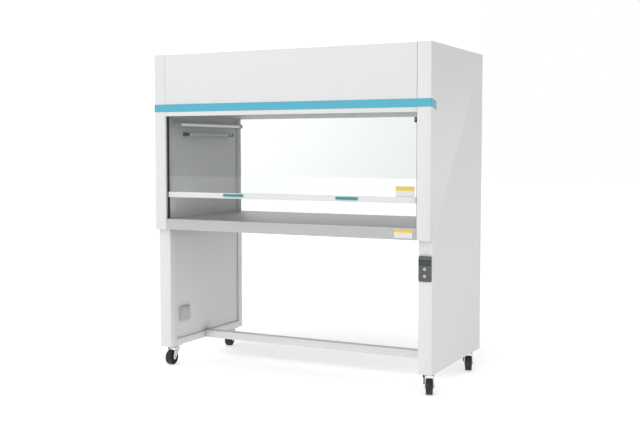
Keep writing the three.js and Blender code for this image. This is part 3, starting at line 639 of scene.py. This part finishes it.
def soften(obj, width, segments=2):
    alone(obj)
    bpy.ops.object.shade_smooth()
    bevel = obj.modifiers.new("soft_edges", "BEVEL")
    bevel.width = width
    bevel.segments = segments
    bevel.limit_method = "ANGLE"
    bevel.harden_normals = True
    bpy.ops.object.modifier_apply(modifier=bevel.name)


def round_corners(obj, axis, radius, segments=4):
    """Rounds the edges that run one way."""
    way = Vector(axis)
    with editing(obj):
        bpy.ops.mesh.select_mode(type="EDGE")
        shape = bmesh.from_edit_mesh(obj.data)
        for edge in shape.edges:
            run = (edge.verts[1].co - edge.verts[0].co).normalized()
            edge.select_set(abs(run.dot(way)) > PARALLEL)
        bmesh.update_edit_mesh(obj.data)
        bpy.ops.mesh.bevel(offset=radius, segments=segments, affect="EDGES")


def bevel_top(obj, offset, segments):
    """Chamfers or domes the end of a piece that stands along +Z."""
    with editing(obj):
        pick(obj, facing(0, 0, 1))
        bpy.ops.mesh.bevel(offset=offset, segments=segments, affect="EDGES")


def opened(obj, axis, border):
    """Cuts a through hole that leaves an even border round it."""
    with editing(obj):
        pick(obj, end_faces(obj, axis))
        bpy.ops.mesh.inset(thickness=border)
        bpy.ops.mesh.bridge_edge_loops()


# %% [markdown]
# Each finished piece takes a finish, rides on the body it is fixed to, and may stand for the
# working part it was made from. A piece that repeats is modelled once, at the origin, and
# copied to its places, and the copies are joined into one piece.

# %% Fit a piece to the bench
FINISHED = []
joints = {joint["name"]: joint for joint in frame["joints"]}


def fit(obj, slot, body, *stands_for):
    obj.data.materials.clear()
    obj.data.materials.append(FINISHES[slot])
    if stands_for:
        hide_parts(*stands_for)
    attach(obj, body)
    FINISHED.append(obj)


def copies(master, name, places):
    made = []
    for place in places:
        obj = bpy.data.objects.new(name, master.data.copy())
        obj.data.transform(place)
        bpy.context.scene.collection.objects.link(obj)
        made.append(obj)
    bpy.data.objects.remove(master)
    alone(*made)
    if len(made) > 1:
        bpy.ops.object.join()
    bpy.context.object.name = name
    return bpy.context.object


def at(x, y, z, way="Z", sign=1):
    """A place for a piece modelled along +Z that is to point along an axis, or against it."""
    turns = {
        "X": Matrix.Rotation(sign * math.pi / 2, 4, "Y"),
        "Y": Matrix.Rotation(-sign * math.pi / 2, 4, "X"),
        "Z": Matrix.Rotation(math.pi if sign < 0 else 0, 4, "X"),
    }
    return Matrix.Translation((x, y, z)) @ turns[way]


# %% [markdown]
# ## Folded and moulded parts
# The working parts are exact, but their edges are sharp and their faces are loose triangles.
# A copy of each is merged, its flat faces are joined, and its edges are rounded by as much as
# the process gives: about a millimetre on thick powder paint over folded sheet, less on thin
# pressings, and more on what is moulded to be held.

# %% Round the working parts
MERGE_DISTANCE = 0.01 * MM
FLAT_ANGLE = math.radians(1)


def rounded(node, width):
    obj = bpy.data.objects.new(f"{node}_rounded", nodes[node].data.copy())
    bpy.context.scene.collection.objects.link(obj)
    with editing(obj):
        bpy.ops.mesh.select_all(action="SELECT")
        bpy.ops.mesh.remove_doubles(threshold=MERGE_DISTANCE)
        bpy.ops.mesh.dissolve_limited(angle_limit=FLAT_ANGLE)
    soften(obj, width * MM)
    fit(obj, node_slot[node], node_body[node], node)


# Millimetres of rounding, and the parts that get it.
EDGE_WIDTHS = {
    0.8: ["side_frame_left", "side_frame_right", "header_rail", "upper_front_panel", "sash_top_rail"],
    0.9: ["rear_upper_panel", "roof_cover", "power_inlet", "control_panel"],
    1.2: ["worktop", "stretcher_bar", "sash_bottom_rail", "socket_body", "socket_flap"],
    1.6: ["sash_grip_left", "sash_grip_right"],
    0.6: ["sash_guide_left", "sash_guide_right", "counterweight_bar", "blower_motor"],
}
for width, names in EDGE_WIDTHS.items():
    for name in names:
        rounded(name, width)
print("rounded", len(FINISHED), "parts")

# %% [markdown]
# ## Castors
# A castor's wheel is a tyre moulded on a plastic centre. It starts as one cylinder: the tread's
# shoulders are bevelled, both ends are inset and pressed in for the web, and inset and pulled
# out again for the hub. The joint's own axis says which way the wheel faces, so the wheel is
# modelled along X and then turned with its castor.

# %% Model the castors
CASTORS = ["castor_front_left", "castor_front_right", "castor_rear_left", "castor_rear_right"]
TYRE_RADIUS = 37.5 * MM
TYRE_WIDTH = 32 * MM
TYRE_SIDES = 56
SHOULDER = 4 * MM
TYRE_WALL = 7 * MM
WALL_DISH = 0.8 * MM
RIM_WIDTH = 2.4 * MM
WEB_DEPTH = 6 * MM
HUB_RADIUS = 13 * MM
HUB_RISE = 0.5 * MM
HUB_RING = 5 * MM
HUB_DIMPLE = 2 * MM
WHEEL_EDGE = 0.7 * MM
PLATE_THICKNESS = 3 * MM
BOLT_OFFSET = 23.5 * MM
BOLT_RADIUS = 5 * MM
BOLT_HEIGHT = 3.2 * MM
BOLT_CHAMFER = 0.8 * MM
RIDGE_COUNT = 5
RIDGE_HEIGHT = 0.7 * MM
RIDGE_WIDTH = 1.6 * MM
RIDGE_EDGE = RIDGE_HEIGHT * 0.7
TREAD_SKIN = 0.1 * MM


def pressed(obj, way, inset, depth):
    """Insets the two ends and moves them in or out by a depth."""
    with editing(obj):
        pick(obj, end_faces(obj, way))
        bpy.ops.mesh.inset(thickness=inset)
        bpy.ops.mesh.extrude_region_shrink_fatten(TRANSFORM_OT_shrink_fatten={"value": depth})


def wheel_along_x():
    axle = (1, 0, 0)
    wheel = cylinder("castor_wheel", (0, 0, 0), TYRE_RADIUS, TYRE_WIDTH, "X", sides=TYRE_SIDES)
    with editing(wheel):
        pick(wheel, end_faces(wheel, axle))
        bpy.ops.mesh.bevel(offset=SHOULDER, segments=3, affect="EDGES")
    pressed(wheel, axle, TYRE_WALL - SHOULDER, -WALL_DISH)
    pressed(wheel, axle, RIM_WIDTH, -WEB_DEPTH)
    pressed(wheel, axle, TYRE_RADIUS - TYRE_WALL - RIM_WIDTH - HUB_RADIUS, WEB_DEPTH + HUB_RISE)
    pressed(wheel, axle, HUB_RING, -HUB_DIMPLE)
    soften(wheel, WHEEL_EDGE)
    return wheel


def bolt_head():
    head = cylinder("bolt_head", (0, 0, BOLT_HEIGHT / 2), BOLT_RADIUS, BOLT_HEIGHT, "Z", sides=6)
    bevel_top(head, BOLT_CHAMFER, segments=2)
    return head


def tread_ridges(name, turn, pin):
    """Low ridges across the brake's tread, under the user's toe."""
    own = (Matrix.Translation(pin) @ turn).inverted()
    corners = [own @ vertex.co for vertex in nodes[f"{name}_brake"].data.vertices]
    top = max(corner.z for corner in corners)
    tread = [corner for corner in corners if corner.z > top - TREAD_SKIN]
    left, right = min(c.x for c in tread), max(c.x for c in tread)
    front, back = min(c.y for c in tread), max(c.y for c in tread)
    low = (left + RIDGE_WIDTH, -RIDGE_WIDTH / 2, top - RIDGE_WIDTH)
    ridge = block("ridge", low, (right - RIDGE_WIDTH, RIDGE_WIDTH / 2, top + RIDGE_HEIGHT))
    soften(ridge, RIDGE_EDGE)
    places = [front + (back - front) * (step + 0.5) / RIDGE_COUNT for step in range(RIDGE_COUNT)]
    lies = [Matrix.Translation(pin) @ turn @ Matrix.Translation((0, y, 0)) for y in places]
    fit(copies(ridge, f"{name}_tread_ridges", lies), "brake_plastic", f"{name}_pedal")


def finish_castor(name):
    roll = joints[f"{name}_wheel_roll"]
    pin = Vector(joints[f"{name}_swivel_turn"]["pos_m"])
    turn = Matrix.Rotation(math.atan2(roll["axis"][1], roll["axis"][0]), 4, "Z")
    place = Matrix.Translation(roll["pos_m"]) @ turn
    wheel = copies(wheel_along_x(), f"{name}_tyre_and_hub", [place])
    fit(wheel, "castor_tyre", f"{name}_roll", f"{name}_wheel")
    tread_ridges(name, turn, pin)
    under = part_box(f"{name}_plate")[1].z - PLATE_THICKNESS
    offsets = (-BOLT_OFFSET, BOLT_OFFSET)
    bolts = [at(pin.x + x, pin.y + y, under, "Z", -1) for x in offsets for y in offsets]
    fit(copies(bolt_head(), f"{name}_plate_bolts", bolts), "bright_steel", "root")
    rounded(f"{name}_plate", 0.6)
    rounded(f"{name}_fork", 0.8)
    rounded(f"{name}_brake", 0.8)


for castor in CASTORS:
    finish_castor(castor)
print("castors finished:", len(CASTORS))

# %% [markdown]
# ## Screws
# The removable covers are held by pan-head screws. One head is modelled at the origin: a short
# cylinder with a domed top, and a cross recess cut by a Boolean modifier. It is then copied to
# its places, which are worked out from the cover's own corners.

# %% Model a screw and fit the covers
SCREW_RADIUS = 3.6 * MM
SCREW_HEIGHT = 1.8 * MM
SCREW_INSET = 14 * MM
SCREWS_PER_EDGE = 6
SCREW_DOME = 0.6  # shares of the head's height
RECESS_FLOOR = 0.45
RECESS_REACH = 0.55  # shares of the head's radius
RECESS_WIDTH = 0.11
SMOOTH_UNDER = math.radians(35)


def screw(radius=SCREW_RADIUS, height=SCREW_HEIGHT):
    head = cylinder("screw", (0, 0, height / 2), radius, height, "Z", sides=20)
    bevel_top(head, height * SCREW_DOME, segments=3)
    reach = radius * RECESS_REACH
    thin = radius * RECESS_WIDTH
    for half_x, half_y in ((reach, thin), (thin, reach)):
        low = (-half_x, -half_y, height * RECESS_FLOOR)
        cutter = block("recess", low, (half_x, half_y, height * 2))
        alone(head)
        cross = head.modifiers.new("cross", "BOOLEAN")
        cross.operation = "DIFFERENCE"
        cross.object = cutter
        bpy.ops.object.modifier_apply(modifier=cross.name)
        bpy.data.objects.remove(cutter)
    bpy.ops.object.shade_smooth_by_angle(angle=SMOOTH_UNDER)
    return head


def along(low, high, count, inset=SCREW_INSET):
    """Even places from one edge to the other, the first and last set in a little."""
    step = (high - low - 2 * inset) / (count - 1)
    return [low + inset + step * number for number in range(count)]


def fit_screws():
    low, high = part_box("roof_cover")
    edges = [low.y + SCREW_INSET, high.y - SCREW_INSET]
    roof = [at(x, y, high.z) for x in along(low.x, high.x, SCREWS_PER_EDGE) for y in edges]
    fit(copies(screw(), "roof_screws", roof), "bright_steel", "root")
    low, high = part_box("rear_upper_panel")
    edges = [low.z + SCREW_INSET, high.z - SCREW_INSET]
    back = [at(x, high.y, z, "Y") for x in along(low.x, high.x, SCREWS_PER_EDGE) for z in edges]
    fit(copies(screw(), "rear_panel_screws", back), "bright_steel", "root")
    print("screws:", len(roof), "on the roof and", len(back), "on the back")


fit_screws()

# %% [markdown]
# The inner walls of the chamber and the legs are separate sheets behind the side frames'
# openings. They are held by small domed rivets a little way in from the edge of each opening.

# %% Rivet the inner walls
RIVET_RADIUS = 2.4 * MM
RIVET_HEIGHT = 1 * MM
RIVET_INSET = 22 * MM
RIVET_DOME = RIVET_HEIGHT * 0.8
RIVETS_PER_EDGE = 3
RIVET_SMOOTH_UNDER = math.radians(40)


def rivet():
    head = cylinder("rivet", (0, 0, RIVET_HEIGHT / 2), RIVET_RADIUS, RIVET_HEIGHT, "Z", sides=16)
    bevel_top(head, RIVET_DOME, segments=3)
    alone(head)
    bpy.ops.object.shade_smooth_by_angle(angle=RIVET_SMOOTH_UNDER)
    return head


def rivet_wall(wall, side, sign):
    low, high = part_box(f"{wall}_{side}")
    inner = high.x if side == "left" else low.x
    heights = along(low.z, high.z, RIVETS_PER_EDGE, RIVET_INSET)
    edges = [low.y + RIVET_INSET, high.y - RIVET_INSET]
    lies = [at(inner, y, z, "X", sign) for y in edges for z in heights]
    fit(copies(rivet(), f"{wall}_{side}_rivets", lies), "white_powder_coat", "root")
    print(wall, side, len(lies), "rivets")


for wall in ("chamber_wall", "leg_liner"):
    for side, sign in (("left", 1), ("right", -1)):
        rivet_wall(wall, side, sign)

# %% [markdown]
# ## Labels
# Two plain cards are stuck on the front, one on the sash and one on the worktop's apron. They
# carry no words: a yellow band on top, a white field with faint grey rules, and a thin border.
# Each is a thin sheet with rounded corners, and its print is a pattern on Object coordinates.

# %% Model and print the labels
LABEL_THICKNESS = 0.25 * MM
LABEL_GAP = 0.02 * MM
LABEL_BORDER = 2 * MM
LABEL_CORNER = 2 * MM
LABEL_EDGE = 0.05 * MM
YELLOW = (0.80, 0.60, 0.09, 1)
CARD_WHITE = (0.83, 0.83, 0.81)
RULE_GREY = (0.25, 0.26, 0.28, 1)
BORDER_GREY = (0.3, 0.3, 0.31, 1)
RULE_LIMIT = 0.75  # the wave's height above which a rule is printed
RULE_REACH = 0.38  # half a rule's length, as a share of the card's width


def printed_card(slot, low, high, band, rules):
    card = Finish(slot, Specular_IOR_Level=0.4, Roughness=0.4)
    x, _, z = card.axes(card.place())
    fibre = card.noise(card.place(), 600, 3)
    paper = card.tinted(CARD_WHITE, 0.05, fibre)
    pitch = (high.z - low.z - band) / (rules + 1)
    off_centre = (x - (low.x + high.x) / 2).size()
    width = high.x - low.x
    row = ((z - low.z) * (2 * math.pi / pitch)).wave().above(RULE_LIMIT)
    column = off_centre.below(width * RULE_REACH)
    printed = card.mix(row * column * 0.3, paper, RULE_GREY)
    banded = card.mix(z.above(high.z - band), printed, YELLOW)
    edge_x = off_centre.above(width / 2 - LABEL_BORDER)
    edge_z = z.below(low.z + LABEL_BORDER)
    card.set(
        Base_Color=card.mix(edge_x.larger(edge_z) * 0.8, banded, BORDER_GREY),
        Normal=card.bump(fibre, 0.00002),
    )


def label(name, body, face, across, upright, band, rules):
    """A card on a face that looks forward, between two places across it and two heights."""
    low = Vector((across[0], face - LABEL_THICKNESS, upright[0]))
    high = Vector((across[1], face - LABEL_GAP, upright[1]))
    slot = f"{name}_card"
    printed_card(slot, low, high, band, rules)
    card = block(name, low, high)
    round_corners(card, (0, 1, 0), LABEL_CORNER)
    soften(card, LABEL_EDGE, 1)
    fit(card, slot, body)
    print(name, [round(size / MM, 1) for size in high - low], "mm")


SASH_LABEL_ACROSS = (575 * MM, 665 * MM)
SASH_LABEL_HEIGHTS = (3 * MM, 49 * MM)  # over the sash's bottom rail
SASH_LABEL_BAND = 20 * MM
APRON_LABEL_ACROSS = (572 * MM, 664 * MM)
APRON_LABEL_HEIGHTS = (5 * MM, 49 * MM)  # over the apron's lower edge
APRON_LABEL_BAND = 16 * MM


def label_sash():
    rail_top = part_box("sash_bottom_rail")[1].z
    upright = [rail_top + height for height in SASH_LABEL_HEIGHTS]
    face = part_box("sash_glass")[0].y
    label("sash_label", "sash", face, SASH_LABEL_ACROSS, upright, SASH_LABEL_BAND, rules=3)


def label_apron():
    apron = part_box("worktop")[0]
    upright = [apron.z + height for height in APRON_LABEL_HEIGHTS]
    label("apron_label", "root", apron.y, APRON_LABEL_ACROSS, upright, APRON_LABEL_BAND, rules=4)


label_sash()
label_apron()

# %% [markdown]
# ## Sash stop and lamp ends
# A small black turn-button on the right guide stops the sash. The lamps' tubes end in bright
# caps, and each lamp's holders are moulded covers: pale on the working light, and dark on the
# quartz lamp.

# %% Model the stop and the lamp ends
STOP_LOW = 1243 * MM
STOP_SIZE = Vector((13, 7, 24)) * MM
STOP_GAP = 0.2 * MM
STOP_CORNER = 4.5 * MM
STOP_STEP = 2 * MM
STOP_RISE = 1 * MM
STOP_SCREW = (2.2 * MM, 1.2 * MM)
CAP_LENGTH = 12 * MM
CAP_WALL = 0.5 * MM
CAP_RIM = 1.5 * MM
CAP_DIMPLE = 0.8 * MM
HOLDER_MARGIN = 0.5 * MM
HOLDER_CORNER = 4 * MM
HOLDER_RIM = 2 * MM
HOLDER_DIMPLE = 0.4 * MM


def sash_stop():
    low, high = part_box("sash_guide_right")
    back = Vector((high.x, low.y - STOP_GAP, STOP_LOW + STOP_SIZE.z))
    front = back - STOP_SIZE
    knob = block("sash_stop", front, back)
    round_corners(knob, (0, 1, 0), STOP_CORNER)
    with editing(knob):
        pick(knob, facing(0, -1, 0))
        bpy.ops.mesh.inset(thickness=STOP_STEP)
        bpy.ops.transform.translate(value=(0, -STOP_RISE, 0))
    soften(knob, ROUND_EDGE)
    fit(knob, "guide_plastic", "root")
    middle = (front + back) / 2
    lies = [at(middle.x, front.y - STOP_RISE, middle.z, "Y", -1)]
    fit(copies(screw(*STOP_SCREW), "sash_stop_screw", lies), "bright_steel", "root")
    print("sash stop", [round(size / MM, 1) for size in STOP_SIZE], "mm")


def tube_caps(name):
    low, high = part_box(f"{name}_tube")
    middle = (low + high) / 2
    radius = (high.z - low.z) / 2 + CAP_WALL
    cap = cylinder("cap", (0, 0, CAP_LENGTH / 2), radius, CAP_LENGTH, "Z", sides=28)
    pressed(cap, (0, 0, 1), CAP_RIM, -CAP_DIMPLE)
    soften(cap, CAP_EDGE)
    lies = [at(middle.x, low.y, middle.z, "Y"), at(middle.x, high.y, middle.z, "Y", -1)]
    fit(copies(cap, f"{name}_tube_caps", lies), "bright_steel", "root")


def holder_covers(name, slot):
    """Covers over the two holders, from each end of the batten to the end of the tube."""
    low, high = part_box(f"{name}_tube")
    base_low, base_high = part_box(f"{name}_batten")
    spans = ((base_low.y, low.y), (high.y, base_high.y))
    for number, (near, far) in enumerate(spans, 1):
        corner = Vector((base_low.x, near - HOLDER_MARGIN, base_low.z - HOLDER_MARGIN))
        other = Vector((base_high.x, far, base_high.z)) + Vector((1, 1, 1)) * HOLDER_MARGIN
        cover = block(f"{name}_holder_{number}", corner, other)
        round_corners(cover, (0, 1, 0), HOLDER_CORNER)
        pressed(cover, (0, 1, 0), HOLDER_RIM, -HOLDER_DIMPLE)
        soften(cover, SOFT_EDGE)
        fit(cover, slot, "root")


def lamp_ends(name, cover_slot):
    tube_caps(name)
    holder_covers(name, cover_slot)
    print(name, "lamp: two caps and two holder covers")


sash_stop()
lamp_ends("led", "button_plastic")
lamp_ends("uv", "guide_plastic")

# %% [markdown]
# ## Controls and socket
# The control panel has a raised bezel round its display, three small indicator lenses, and a
# ring round each button. A ring starts as a disc, and its two faces are inset and bridged. The
# buttons are dished where a finger presses them. The socket's flap turns between two knuckles.

# %% Model the panel's small parts
BEZEL_WIDTH = 2.4 * MM
BEZEL_PROUD = 0.9 * MM
BEZEL_SUNK = 0.4 * MM
BEZEL_CORNER = 2 * MM
INDICATOR_RADIUS = 1.5 * MM
INDICATOR_HEIGHT = 1 * MM
INDICATOR_DOME = 0.8 * MM
INDICATOR_LIFT = 9 * MM  # over the display's top edge
INDICATOR_INSET = 8 * MM
BUTTON_RIM = 1.4 * MM
BUTTON_RIM_DROP = 0.4 * MM
BUTTON_DISH = 3 * MM
BUTTON_DISH_DROP = 0.3 * MM
RING_GROWTH = 2.4 * MM
RING_BORDER = 1.8 * MM
RING_HEIGHT = 1.2 * MM
RING_PROUD = 0.3 * MM


def display_bezel():
    low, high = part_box("control_display")
    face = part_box("control_panel")[0].y
    grown = Vector((BEZEL_WIDTH, 0, BEZEL_WIDTH))
    front = Vector((low.x, face - BEZEL_PROUD, low.z)) - grown
    back = Vector((high.x, face + BEZEL_SUNK, high.z)) + grown
    bezel = block("display_bezel", front, back)
    round_corners(bezel, (0, 1, 0), BEZEL_CORNER)
    opened(bezel, (0, 1, 0), BEZEL_WIDTH)
    soften(bezel, CRISP_EDGE)
    fit(bezel, "guide_plastic", "root")


def indicator_lenses():
    low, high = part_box("control_display")
    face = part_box("control_panel")[0].y
    middle = (0, 0, INDICATOR_HEIGHT / 2)
    lens = cylinder("indicator", middle, INDICATOR_RADIUS, INDICATOR_HEIGHT, "Z", sides=16)
    bevel_top(lens, INDICATOR_DOME, segments=3)
    height = high.z + INDICATOR_LIFT
    lies = [at(x, face, height, "Y", -1) for x in along(low.x, high.x, 3, INDICATOR_INSET)]
    fit(copies(lens, "indicator_lenses", lies), "button_plastic", "root")


def dished_button(node):
    low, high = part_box(node)
    radius = (high.x - low.x) / 2
    middle = (low + high) / 2
    depth = high.y - low.y
    button = cylinder(f"{node}_dished", (0, 0, depth / 2), radius, depth, "Z", sides=36)
    with editing(button):
        pick(button, facing(0, 0, 1))
        bpy.ops.mesh.inset(thickness=BUTTON_RIM)
        bpy.ops.transform.translate(value=(0, 0, -BUTTON_RIM_DROP))
        bpy.ops.mesh.inset(thickness=BUTTON_DISH)
        bpy.ops.transform.translate(value=(0, 0, -BUTTON_DISH_DROP))
    soften(button, SOFT_EDGE)
    button = copies(button, f"{node}_dished", [at(middle.x, high.y, middle.z, "Y", -1)])
    fit(button, "button_plastic", node_body[node], node)
    ring = cylinder("ring", (0, 0, 0), radius + RING_GROWTH, RING_HEIGHT, "Z", sides=36)
    opened(ring, (0, 0, 1), RING_BORDER)
    soften(ring, CRISP_EDGE)
    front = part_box("control_panel")[0].y - RING_PROUD
    ring = copies(ring, f"{node}_ring", [at(middle.x, front, middle.z, "Y", -1)])
    fit(ring, "panel_plastic", "root")


KNUCKLE_RADIUS = 2.4 * MM
KNUCKLE_LENGTH = 8 * MM
KNUCKLE_RIM = 1 * MM
KNUCKLE_DIMPLE = 0.4 * MM
KNUCKLE_OUT = 1.6 * MM
KNUCKLE_LIFT = 3 * MM
KNUCKLE_INSET = 6 * MM
SOCKET_SCREW = (2.6 * MM, 1.2 * MM)


def socket_knuckles():
    low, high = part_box("socket_flap")
    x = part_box("socket_body")[1].x + KNUCKLE_OUT
    z = high.z + KNUCKLE_LIFT
    middle = (0, 0, KNUCKLE_LENGTH / 2)
    knuckle = cylinder("knuckle", middle, KNUCKLE_RADIUS, KNUCKLE_LENGTH, "Z", sides=20)
    pressed(knuckle, (0, 0, 1), KNUCKLE_RIM, -KNUCKLE_DIMPLE)
    soften(knuckle, CRISP_EDGE)
    lies = [at(x, low.y + KNUCKLE_INSET, z, "Y"), at(x, high.y - KNUCKLE_INSET, z, "Y", -1)]
    fit(copies(knuckle, "socket_knuckles", lies), "socket_plastic", "root")


def socket_screws():
    """Two screws through the body's flanges, one on each side of the flap."""
    low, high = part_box("socket_flap")
    body_low, body_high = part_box("socket_body")
    edges = [(body_low.y + low.y) / 2, (body_high.y + high.y) / 2]
    lies = [at(body_high.x, y, (low.z + high.z) / 2, "X") for y in edges]
    fit(copies(screw(*SOCKET_SCREW), "socket_screws", lies), "bright_steel", "root")


PIN_LOW = Vector((-1, -2.5, -9)) * MM
PIN_HIGH = Vector((1, 2.5, 5)) * MM
PIN_DEPTH = 8 * MM  # from the inlet's face to the pin's origin
PIN_SPREAD = 7 * MM
PIN_PLACES = [(-PIN_SPREAD, -2 * MM), (0, 3 * MM), (PIN_SPREAD, -2 * MM)]


def inlet_pins():
    low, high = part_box("power_inlet")
    middle = (low + high) / 2
    pin = block("pin", PIN_LOW, PIN_HIGH)
    soften(pin, SOFT_EDGE)
    lies = [at(middle.x + x, high.y - PIN_DEPTH, middle.z + z, "Y") for x, z in PIN_PLACES]
    fit(copies(pin, "inlet_pins", lies), "bright_steel", "root")


display_bezel()
indicator_lenses()
dished_button("control_button_upper")
dished_button("control_button_lower")
socket_knuckles()
socket_screws()
inlet_pins()
print("finished pieces:", len(FINISHED))
